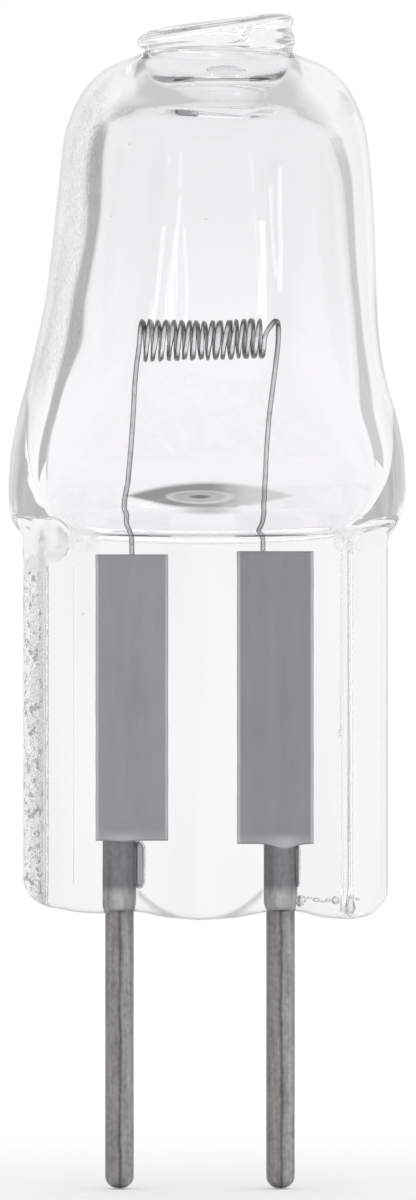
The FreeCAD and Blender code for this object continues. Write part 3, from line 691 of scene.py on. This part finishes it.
def make_pin(side, material):
    """A drawn wire pin with fine lengthwise marks, a rounded end and a shank pressed flatter in the seal."""
    centre = PIN_CENTRE[side]
    rings = []
    for radius, z in pin_rows():
        pressed = ease(SHANK_START - 0.02, SHANK_START + 0.03, z)
        wide = 1.0 + (SHANK_WIDE / PIN_RADIUS - 1.0) * pressed
        flat = 1.0 + (SHANK_FLAT / PIN_RADIUS - 1.0) * pressed
        ring = []
        for index in range(PIN_AROUND):
            turn = 2.0 * math.pi * index / PIN_AROUND
            mark = uneven(math.cos(turn) * 3.2, math.sin(turn) * 3.2 + centre, z * 0.45)
            pit = uneven(math.cos(turn) * 5.0 + centre, math.sin(turn) * 5.0, z * 2.2)
            reach = radius * (DRAWN_SIZE + DRAWN_MARKS * mark + DRAWN_PITS * pit)
            y = reach * math.sin(turn) * flat
            if z > FLAT_START:
                y = max(y, FOIL_BACK + FLAT_CLEAR)
            ring.append((centre + reach * wide * math.cos(turn), y, z))
        rings.append(ring)
    bm = bmesh.new()
    across = bm.verts.layers.float.new("across")
    wrap_rings(bm, rings)
    bmesh.ops.recalc_face_normals(bm, faces=bm.faces)
    for vert in bm.verts:
        vert[across] = 0.5 + 0.5 * (vert.co.x / MM - centre) / PIN_RADIUS
    return finish_piece(bm, f"{side}_drawn_pin", material, stands_for=f"{side}_pin")


# Material helpers. Inside the node trees places are metres; zone and offset take millimetres.
WHITE = (1.0, 1.0, 1.0, 1.0)
BLACK = (0.0, 0.0, 0.0, 1.0)


def add(tree, kind, inputs=None, **settings):
    """Add a node; an input is a plain value or another node's output."""
    node = tree.nodes.new(kind)
    for name, value in settings.items():
        setattr(node, name, value)
    for socket, value in (inputs or {}).items():
        if isinstance(value, bpy.types.NodeSocket):
            tree.links.new(value, node.inputs[socket])
        else:
            node.inputs[socket].default_value = value
    return node


def combine(tree, first, second, operation="ADD"):
    """Two values worked into one."""
    return add(tree, "ShaderNodeMath", {0: first, 1: second}, operation=operation).outputs["Value"]


def product(tree, *values):
    """Values multiplied in turn."""
    whole = values[0]
    for value in values[1:]:
        whole = combine(tree, whole, value, "MULTIPLY")
    return whole


def squares(tree, first, second):
    """The sum of the squares of two values."""
    return combine(tree, product(tree, first, first), product(tree, second, second))


def unsigned(tree, value):
    """A value without its sign."""
    return add(tree, "ShaderNodeMath", {0: value}, operation="ABSOLUTE").outputs["Value"]


def ramp(tree, value, low, high, to_low=0.0, to_high=1.0):
    """Soft change from one value to another as a third goes from low to high."""
    node = add(
        tree,
        "ShaderNodeMapRange",
        {"Value": value, "From Min": low, "From Max": high, "To Min": to_low, "To Max": to_high},
        interpolation_type="SMOOTHSTEP",
    )
    return node.outputs["Result"]


def zone(tree, *edges):
    """1 inside a zone and 0 outside it; each edge is a length, where it is outside and where it is inside."""
    return product(tree, *[ramp(tree, length, out * MM, within * MM) for length, out, within in edges])


def offset(tree, length, centre, unit):
    """How far a place lies from a centre, counted in units."""
    return product(tree, combine(tree, length, -centre * MM), 1.0 / (unit * MM))


def between(tree, factor, first, second):
    """A value between two others."""
    return add(tree, "ShaderNodeMix", {"Factor": factor, "A": first, "B": second}).outputs["Result"]


def blend(tree, factor, first, second, blend_type="MIX"):
    """A colour between two others."""
    inputs = {"Factor": factor, "A": first, "B": second}
    return add(tree, "ShaderNodeMix", inputs, data_type="RGBA", blend_type=blend_type).outputs["Result"]


def stained(tree, colour, stain):
    """A colour multiplied by another."""
    return blend(tree, 1.0, colour, stain, "MULTIPLY")


def colour_steps(tree, value, steps):
    """A colour picked by a value, from places and greys or colours."""
    node = add(tree, "ShaderNodeValToRGB", {"Fac": value})
    band = node.color_ramp
    band.interpolation = "EASE"
    while len(band.elements) < len(steps):
        band.elements.new(0.5)
    for element, (place, colour) in zip(band.elements, steps):
        element.position = place
        element.color = (*colour, 1.0) if isinstance(colour, tuple) else (colour, colour, colour, 1.0)
    return node.outputs["Color"]


def grain(tree, place, scale, detail=3.0, roughness=0.5):
    """Fine noise over the surface."""
    inputs = {"Vector": place, "Scale": scale, "Detail": detail, "Roughness": roughness}
    return add(tree, "ShaderNodeTexNoise", inputs).outputs["Fac"]


def stretched(tree, place, share):
    """Places pressed together along Z, so that a pattern made from them runs lengthwise."""
    return add(tree, "ShaderNodeMapping", {"Vector": place, "Scale": (1.0, 1.0, share)}).outputs["Vector"]


def own_place(tree):
    """A place in the piece's own coordinates."""
    return add(tree, "ShaderNodeTexCoord").outputs["Object"]


def parts(tree, place):
    """The X, Y and Z of a place."""
    split = add(tree, "ShaderNodeSeparateXYZ", {"Vector": place}).outputs
    return split["X"], split["Y"], split["Z"]


def painted(tree, name):
    """A value that the piece's vertices carry."""
    return add(tree, "ShaderNodeAttribute", attribute_name=name).outputs["Fac"]


def edge_on(tree):
    """How far a surface turns away from the eye."""
    return add(tree, "ShaderNodeLayerWeight", {"Blend": 0.5}).outputs["Facing"]


def new_material(name):
    """A material with one surface shader; returns it with its tree and the shader."""
    material = bpy.data.materials.new(name)
    material.use_nodes = True
    tree = material.node_tree
    tree.nodes.clear()
    shader = add(tree, "ShaderNodeBsdfPrincipled")
    add(tree, "ShaderNodeOutputMaterial", {"Surface": shader.outputs["BSDF"]})
    return material, tree, shader


# Metals. Tones go by a value painted on the piece.
# Painted reflection: bands across each pin, picked by the place across it.
PIN_REFLECTION_BANDS = [
    (0.00, (0.235, 0.232, 0.230)),
    (0.20, (0.290, 0.272, 0.264)),
    (0.42, (0.260, 0.246, 0.240)),
    (0.52, (0.135, 0.134, 0.136)),
    (0.62, (0.270, 0.270, 0.275)),
    (0.82, (0.365, 0.368, 0.382)),
    (1.00, (0.250, 0.256, 0.266)),
]
PIN_SEALED, PIN_FROSTED = (0.235, 0.235, 0.245, 1.0), (0.52, 0.515, 0.52, 1.0)
PIN_SWAY = 0.16
TUNGSTEN_CREST_HIGHLIGHTS = [(0.00, 0.60), (0.40, 0.56), (0.66, 0.62), (0.86, 0.76), (1.00, 0.88)]
TUNGSTEN_RIM_SHADE = (0.16, 0.16, 0.16, 1.0)
FOIL_TONE = {"left": (0.345, 0.356, 0.368), "right": (0.305, 0.313, 0.324)}
FOIL_EDGE, FOIL_WELD_HIGHLIGHT = (0.66, 0.66, 0.68, 1.0), (0.60, 0.60, 0.61, 1.0)
MARK_STRETCH, MOTTLING_SHARE = 0.09, 0.4


def drawn_marks_group():
    """Fine marks stretched along Z and soft mottling, as drawing and rolling leave them on metal."""
    group = bpy.data.node_groups.new("drawn_marks", "ShaderNodeTree")
    sockets = [
        ("Coordinates", "INPUT", "NodeSocketVector"),
        ("Mark Scale", "INPUT", "NodeSocketFloat"),
        ("Mottling Scale", "INPUT", "NodeSocketFloat"),
        ("Dark", "INPUT", "NodeSocketColor"),
        ("Light", "INPUT", "NodeSocketColor"),
        ("Color", "OUTPUT", "NodeSocketColor"),
        ("Marks", "OUTPUT", "NodeSocketFloat"),
    ]
    for name, in_out, kind in sockets:
        group.interface.new_socket(name, in_out=in_out, socket_type=kind)
    given = add(group, "NodeGroupInput").outputs
    place = given["Coordinates"]
    marks = grain(group, stretched(group, place, MARK_STRETCH), given["Mark Scale"], 5.0, 0.62)
    mottling = grain(group, place, given["Mottling Scale"], 4.0)
    joined = between(group, MOTTLING_SHARE, marks, mottling)
    contrast = add(group, "ShaderNodeMapRange", {"Value": joined, "From Min": 0.32, "From Max": 0.68})
    shown = contrast.outputs["Result"]
    add(group, "NodeGroupOutput", {"Color": blend(group, shown, given["Dark"], given["Light"]), "Marks": shown})
    return group


def metal(name, group, dark, light, mark_scale, mottling_scale, roughness, relief):
    """A dull metal with drawn marks in its roughness and its relief; returns the marks' colour too."""
    material, tree, shader = new_material(name)
    inputs = {
        "Coordinates": own_place(tree),
        "Mark Scale": mark_scale,
        "Mottling Scale": mottling_scale,
        "Dark": (*dark, 1.0),
        "Light": (*light, 1.0),
    }
    drawn = add(tree, "ShaderNodeGroup", inputs, node_tree=group).outputs
    marks = drawn["Marks"]
    shader.inputs["Metallic"].default_value = 1.0
    sheen = add(tree, "ShaderNodeMapRange", {"Value": marks, "To Min": roughness[0], "To Max": roughness[1]})
    tree.links.new(sheen.outputs["Result"], shader.inputs["Roughness"])
    bump = add(tree, "ShaderNodeBump", {"Strength": 0.5, "Distance": relief * MM, "Height": marks})
    tree.links.new(bump.outputs["Normal"], shader.inputs["Normal"])
    return material, tree, shader, drawn["Color"]


def drawn_pin_material(group):
    """Drawn wire with painted reflection bands across it: a dark middle line, one half warmer, one cooler; frosted
    where it enters the glass.
    """
    material, tree, shader, colour = metal(
        "drawn_pin_wire", group, (0.62, 0.62, 0.62), (1.38, 1.38, 1.38), 9000.0, 8000.0, (0.30, 0.48), 0.020
    )
    place = own_place(tree)
    sway = product(tree, combine(tree, grain(tree, place, 1500.0, 2.0), -0.5), PIN_SWAY)
    tone = colour_steps(tree, combine(tree, painted(tree, "across"), sway), PIN_REFLECTION_BANDS)
    _, _, z = parts(tree, place)
    sealed = blend(tree, zone(tree, (z, 0.22, 0.26)), tone, PIN_SEALED)
    frosted = blend(tree, zone(tree, (z, 0.22, 0.26), (z, 0.90, 0.60)), sealed, PIN_FROSTED)
    tree.links.new(stained(tree, frosted, colour), shader.inputs["Base Color"])
    return material


def tungsten_material(group):
    """Dull drawn wire with a painted highlight along the outer crest of its turns and painted shade at its rims."""
    material, tree, shader, colour = metal(
        "dull_tungsten", group, (0.70, 0.70, 0.71), (1.25, 1.25, 1.26), 16000.0, 7000.0, (0.24, 0.38), 0.004
    )
    tone = colour_steps(tree, painted(tree, "crest"), TUNGSTEN_CREST_HIGHLIGHTS)
    rim_shade = blend(tree, ramp(tree, edge_on(tree), 0.18, 0.44), WHITE, TUNGSTEN_RIM_SHADE)
    highlit_and_shaded = stained(tree, tone, rim_shade)
    tree.links.new(stained(tree, highlit_and_shaded, colour), shader.inputs["Base Color"])
    return material


def rolled_foil_material(name, group, tone):
    """Satin foil: pale along its feathered edges, and pale at its bottom over the weld, partly the weld's tone, partly
    a painted highlight.
    """
    dark = tuple(part * 0.90 for part in tone)
    light = tuple(part * 1.16 for part in tone)
    material, tree, shader, colour = metal(name, group, dark, light, 2600.0, 900.0, (0.36, 0.44), 0.003)
    edged = blend(tree, product(tree, painted(tree, "feathered_edge"), 0.85), colour, FOIL_EDGE)
    weld_lit = blend(tree, product(tree, painted(tree, "weld"), 0.80), edged, FOIL_WELD_HIGHLIGHT)
    tree.links.new(weld_lit, shader.inputs["Base Color"])
    return material


# Quartz. Light crosses its skins several times, and each crossing tints it again.
QUARTZ_BENDING = 1.458
WEB_DULL, WEB_CLEAR = (0.880, 0.872, 0.884, 1.0), (0.945, 0.937, 0.948, 1.0)
BULB_LOW, BULB_HIGH = (0.971, 0.963, 0.973, 1.0), (0.928, 0.921, 0.930, 1.0)
# Painted shade for quartz seen edge-on.
EDGE_ON_PAINTED_SHADE = (0.24, 0.24, 0.26, 1.0)
SPECK_TINT, GRAIN_TINT = (0.12, 0.12, 0.12, 1.0), (0.32, 0.32, 0.33, 1.0)
# Painted shade along the bowl-shaped lower edge and the bottom rim; an even grey on the pockets beside the pins.
BOWL_EDGE_SHADE, BOTTOM_RIM_SHADE, POCKET_GREY = (0.30, 0.30, 0.31, 1.0), (0.34, 0.34, 0.35, 1.0), (0.34, 0.34, 0.35, 1.0)
WALL_LEAN = 0.1625
FINE_GRAIN, COARSE_GRAIN = 16000.0, 6000.0
LINE_RELIEF, WALL_RELIEF, RAIL_RELIEF, SHOULDER_RELIEF = 0.006, 0.006, 0.110, 0.040
LINE_DULL, WALL_DULL, KNUCKLE_DULL = 0.02, 0.015, 0.42
EYE_HEIGHT, EYE_TALL, EYE_WIDE = 10.73, 0.36, 2.2
SPINDLE_CENTRE, SPINDLE_HALF, SPINDLE_LOW = 0.22, 2.15, 1.35
EYE_RINGS = [(0.00, 0.015), (0.08, 0.030), (0.15, 0.260), (0.22, 0.190), (0.34, 0.340), (0.40, 0.075)]
BOWL_BASE, BOWL_CURVE = 0.03, 330.0
# Painted glow: emission on the quartz for deep glossy rays, grey by height and brighter towards the right.
CAUGHT_BOUNCE = 4.0
CAUGHT_GREYS = [(0.00, 0.42), (0.08, 0.50), (0.20, 0.58), (0.60, 0.66), (0.85, 0.96)]
CAUGHT_DULL, CAUGHT_RIGHT = (0.78, 0.78, 0.79, 1.0), 1.38


def quartz_finishes(tree, x, y, z):
    """Where the left rail, the left wall, the knuckle and the pinch's shoulders have a finish of their own."""
    rail = zone(tree, (x, -3.80, -3.90), (z, 0.3, 0.7), (z, 9.1, 8.6))
    leaning = combine(tree, x, product(tree, z, -WALL_LEAN))
    wall = zone(tree, (leaning, -5.40, -5.75), (z, 12.5, 14.0), (y, 0.0, -0.3))
    knot = squares(tree, offset(tree, x, -3.70, 0.48), offset(tree, z, 9.36, 0.60))
    knot = product(tree, ramp(tree, knot, 1.2, 0.5), zone(tree, (y, 0.0, -0.4)))
    far = unsigned(tree, combine(tree, x, -0.4 * MM))
    shoulder = zone(tree, (z, 9.1, 9.4), (z, 9.8, 9.5), (far, 2.85, 3.15), (far, 3.75, 3.45))
    return rail, wall, knot, shoulder


def painted_floor_eye(tree, x, z):
    """The dark eye low in the bulb, painted shade: rings inside a spindle, flatter below and paler at the right."""
    up = offset(tree, z, EYE_HEIGHT, EYE_TALL)
    reach = squares(tree, offset(tree, x, 0.0, EYE_WIDE), up)
    reach = add(tree, "ShaderNodeMath", {0: reach}, operation="SQRT").outputs["Value"]
    rings = colour_steps(tree, reach, EYE_RINGS)
    off_line = combine(tree, up, product(tree, up, -SPINDLE_LOW), "MAXIMUM")
    along_eye = offset(tree, x, SPINDLE_CENTRE, SPINDLE_HALF)
    spindle = combine(tree, product(tree, along_eye, along_eye), off_line)
    eye_shade = blend(tree, ramp(tree, spindle, 0.68, 1.0), rings, WHITE)
    return blend(tree, ramp(tree, x, 0.2 * MM, 1.4 * MM, 0.0, 0.45), eye_shade, WHITE)


def bowl_edge(tree, x, y, z):
    """Where the bowl-shaped lower edge of the front face runs between the pins: the mask of a painted grey shade line.
    """
    bowl = product(tree, x, x, BOWL_CURVE)
    under = combine(tree, combine(tree, z, -BOWL_BASE * MM), bowl, "SUBTRACT")
    beside = unsigned(tree, x)
    line = zone(tree, (under, 0.04, -0.06), (under, -0.30, -0.08))
    return product(tree, line, zone(tree, (beside, 1.60, 1.50), (beside, 0.20, 0.90), (y, 0.0, -0.10)))


def caught_light(tree, shader, x, z, lines):
    """Painted glow: the quartz emits a soft grey for rays after four glossy bounces, standing in for light caught
    inside.
    """
    bounces = add(tree, "ShaderNodeLightPath").outputs["Glossy Depth"]
    caught = add(tree, "ShaderNodeMath", {0: bounces, 1: CAUGHT_BOUNCE, 2: 0.5}, operation="COMPARE").outputs["Value"]
    grey = colour_steps(tree, zone(tree, (z, 8.0, 22.0)), CAUGHT_GREYS)
    streaked = blend(tree, ramp(tree, lines, 0.35, 0.65), stained(tree, grey, CAUGHT_DULL), grey)
    tree.links.new(blend(tree, caught, BLACK, streaked), shader.inputs["Emission Color"])
    tree.links.new(ramp(tree, x, 1.0 * MM, 4.5 * MM, 1.0, CAUGHT_RIGHT), shader.inputs["Emission Strength"])


def quartz_material():
    """Clear fused quartz: fire-polished bulb, grained left wall, crinkled left rail, a dark eye of painted shade on the
    hollow's floor.
    """
    material, tree, shader = new_material("clear_quartz")
    shader.inputs["Transmission Weight"].default_value = 1.0
    shader.inputs["IOR"].default_value = QUARTZ_BENDING
    place = own_place(tree)
    x, y, z = parts(tree, place)
    rail, wall, knot, shoulder = quartz_finishes(tree, x, y, z)

    # relief and polish
    lines = grain(tree, stretched(tree, place, 0.12), 700.0, 1.0)
    coarse = ramp(tree, combine(tree, rail, shoulder), 0.0, 1.0, FINE_GRAIN, COARSE_GRAIN)
    rough = grain(tree, place, coarse, 2.0, 0.6)
    depth = combine(tree, product(tree, wall, WALL_RELIEF * MM), product(tree, rail, RAIL_RELIEF * MM))
    depth = combine(tree, depth, product(tree, shoulder, SHOULDER_RELIEF * MM))
    height = combine(tree, product(tree, lines, LINE_RELIEF * MM), product(tree, rough, depth))
    bump = add(tree, "ShaderNodeBump", {"Strength": 1.0, "Distance": 1.0, "Height": height})
    tree.links.new(bump.outputs["Normal"], shader.inputs["Normal"])
    polish = combine(tree, ramp(tree, lines, 0.35, 0.75, 0.0, LINE_DULL), product(tree, wall, WALL_DULL))
    polish = combine(tree, polish, product(tree, knot, KNUCKLE_DULL))
    tree.links.new(polish, shader.inputs["Roughness"])

    # colour: a breath of violet, with painted shade where the glass is seen edge-on, but not on the hollow's skin under
    # the dome
    web = blend(tree, ramp(tree, lines, 0.36, 0.64), WEB_DULL, WEB_CLEAR)
    clear = blend(tree, zone(tree, (z, 9.0, 10.5)), web, BULB_LOW)
    clear = blend(tree, zone(tree, (z, 13.0, 18.7)), clear, BULB_HIGH)
    inner = painted(tree, "inner_skin")
    under_dome = product(tree, inner, zone(tree, (z, 19.0, 19.9)))
    outline = product(tree, ramp(tree, edge_on(tree), 0.72, 0.96), combine(tree, 1.0, under_dome, "SUBTRACT"))
    tint_and_painted_shade = blend(tree, outline, clear, EDGE_ON_PAINTED_SHADE)

    # specks in the rail, grains in the wall, painted shade in grey lines along the lower edges, and grey on the pockets
    # beside the pins
    tint_and_painted_shade = blend(tree, product(tree, ramp(tree, rough, 0.54, 0.66), rail, 0.80), tint_and_painted_shade, SPECK_TINT)
    tint_and_painted_shade = blend(tree, product(tree, ramp(tree, rough, 0.42, 0.68), wall, 0.75), tint_and_painted_shade, GRAIN_TINT)
    tint_and_painted_shade = blend(tree, product(tree, bowl_edge(tree, x, y, z), 0.8), tint_and_painted_shade, BOWL_EDGE_SHADE)
    tint_and_painted_shade = blend(tree, product(tree, painted(tree, "bottom_rim_shade"), 0.75), tint_and_painted_shade, BOTTOM_RIM_SHADE)
    tint_and_painted_shade = blend(tree, painted(tree, "greyed_pocket"), tint_and_painted_shade, POCKET_GREY)

    # painted shade: the dark eye on the front slope of the hollow's floor
    front_slope = product(tree, inner, zone(tree, (y, -0.2, -0.4)))
    eye_shaded = blend(tree, front_slope, WHITE, painted_floor_eye(tree, x, z))
    tree.links.new(stained(tree, tint_and_painted_shade, eye_shaded), shader.inputs["Base Color"])
    caught_light(tree, shader, x, z, lines)
    return material


# Studio, in metres. Its greyer corners lie where sideways against forward is between the near and the far ratios.
TABLE_RADIUS, TABLE_DROP = 0.16, 0.00002
TABLE_PALE, TABLE_WHITE = 0.010, 0.040
CORNER_NEAR, CORNER_FAR = (0.70, 0.92), (2.6, 2.0)
CORNER_LEFT_GREY, CORNER_RIGHT_GREY = 0.48, 0.62
CORNER_STEEP, CORNER_STEEP_SHARE = (0.50, 0.28), 0.25
POLE_STEEP, POLE_GREY = (0.45, 0.75), 0.72
STRIP_DISTANCE, STRIP_RADIANCE, STRIP_AIM = 0.16, 3.2, 0.014
STRIPS = [
    # name, degrees from the front, rise, width, height
    ("left_strip", -36.5, 0.0056, 0.010, 0.051),
    ("right_strip", 34.0, 0.0050, 0.011, 0.051),
    ("far_right_strip", 47.0, 0.0174, 0.010, 0.040),
]
CAMERA_PLACE, CAMERA_SENSOR, CAMERA_LENS = (0.000199, -0.299, 0.00795), 36.0, 361.0


def make_floor():
    """A pale round table top under the pins, white further out."""
    bm = bmesh.new()
    bmesh.ops.create_circle(bm, cap_ends=True, segments=96, radius=TABLE_RADIUS)
    bmesh.ops.translate(bm, verts=bm.verts, vec=(0.0, 0.0, PIN_END * MM - TABLE_DROP))
    mesh = bpy.data.meshes.new("table_top")
    bm.to_mesh(mesh)
    bm.free()
    floor = bpy.data.objects.new("table_top", mesh)
    bpy.context.scene.collection.objects.link(floor)
    material, tree, shader = new_material("pale_table")
    shader.inputs["Base Color"].default_value = (0.98, 0.98, 0.98, 1.0)
    shader.inputs["Roughness"].default_value = 0.9
    reach = add(tree, "ShaderNodeVectorMath", {0: own_place(tree)}, operation="LENGTH").outputs["Value"]
    glow = add(tree, "ShaderNodeEmission")
    mixed = add(tree, "ShaderNodeMixShader", {
        "Fac": ramp(tree, reach, TABLE_PALE, TABLE_WHITE),
        1: shader.outputs["BSDF"],
        2: glow.outputs["Emission"],
    })
    output = next(node for node in tree.nodes if node.type == "OUTPUT_MATERIAL")
    tree.links.new(mixed.outputs["Shader"], output.inputs["Surface"])
    mesh.materials.append(material)


def make_world():
    """White round the object; glass and metal also see greyer corners, a little darker at the left."""
    world = bpy.data.worlds.new("studio")
    bpy.context.scene.world = world
    world.use_nodes = True
    tree = world.node_tree
    tree.nodes.clear()
    x, y, z = parts(tree, add(tree, "ShaderNodeTexCoord").outputs["Generated"])
    aside = unsigned(tree, combine(tree, x, y, "DIVIDE"))
    steep = unsigned(tree, z)
    darkest = ramp(tree, x, -0.6, 0.6, CORNER_LEFT_GREY, CORNER_RIGHT_GREY)
    shade = product(
        tree,
        ramp(tree, aside, *CORNER_NEAR),
        ramp(tree, aside, *CORNER_FAR),
        ramp(tree, steep, *CORNER_STEEP, CORNER_STEEP_SHARE, 1.0),
    )
    sides = product(tree, between(tree, shade, 1.0, darkest), ramp(tree, steep, *POLE_STEEP, 1.0, POLE_GREY))
    path = add(tree, "ShaderNodeLightPath").outputs
    seen = combine(tree, path["Is Glossy Ray"], path["Is Transmission Ray"], "MAXIMUM")
    light = add(tree, "ShaderNodeBackground", {"Color": WHITE, "Strength": between(tree, seen, 1.0, sides)})
    add(tree, "ShaderNodeOutputWorld", {"Surface": light.outputs["Background"]})


def make_strip(name, azimuth, rise, width, height):
    """A tall narrow soft lamp that shows as a streak on the glass."""
    data = bpy.data.lights.new(name, "AREA")
    data.shape = "RECTANGLE"
    data.size = width
    data.size_y = height
    data.energy = STRIP_RADIANCE * math.pi * width * height
    lamp = bpy.data.objects.new(name, data)
    bpy.context.scene.collection.objects.link(lamp)
    turn = math.radians(azimuth)
    aim = Vector((0.0, 0.0, STRIP_AIM))
    lamp.location = aim + Vector((math.sin(turn), -math.cos(turn), 0.0)) * STRIP_DISTANCE
    lamp.rotation_euler = (aim - lamp.location).to_track_quat("-Z", "Y").to_euler()
    lamp.location.z += rise
    lamp.visible_camera = False


def make_camera():
    """A long lens level with the bulb's middle, straight from the front."""
    data = bpy.data.cameras.new("front_camera")
    data.sensor_width = CAMERA_SENSOR
    data.lens = CAMERA_LENS
    data.clip_start = 0.01
    camera = bpy.data.objects.new("front_camera", data)
    bpy.context.scene.collection.objects.link(camera)
    camera.location = CAMERA_PLACE
    camera.rotation_euler = (math.pi / 2, 0.0, 0.0)
    bpy.context.scene.camera = camera


drawn_marks = drawn_marks_group()
make_quartz(quartz_material())
make_filament(tungsten_material(drawn_marks))
pin_metal = drawn_pin_material(drawn_marks)
for side in ("left", "right"):
    make_foil(side, rolled_foil_material(f"{side}_foil_satin", drawn_marks, FOIL_TONE[side]))
    make_pin(side, pin_metal)

make_floor()
make_world()
for strip in STRIPS:
    make_strip(*strip)
make_camera()
bpy.context.scene.view_settings.view_transform = "Standard"
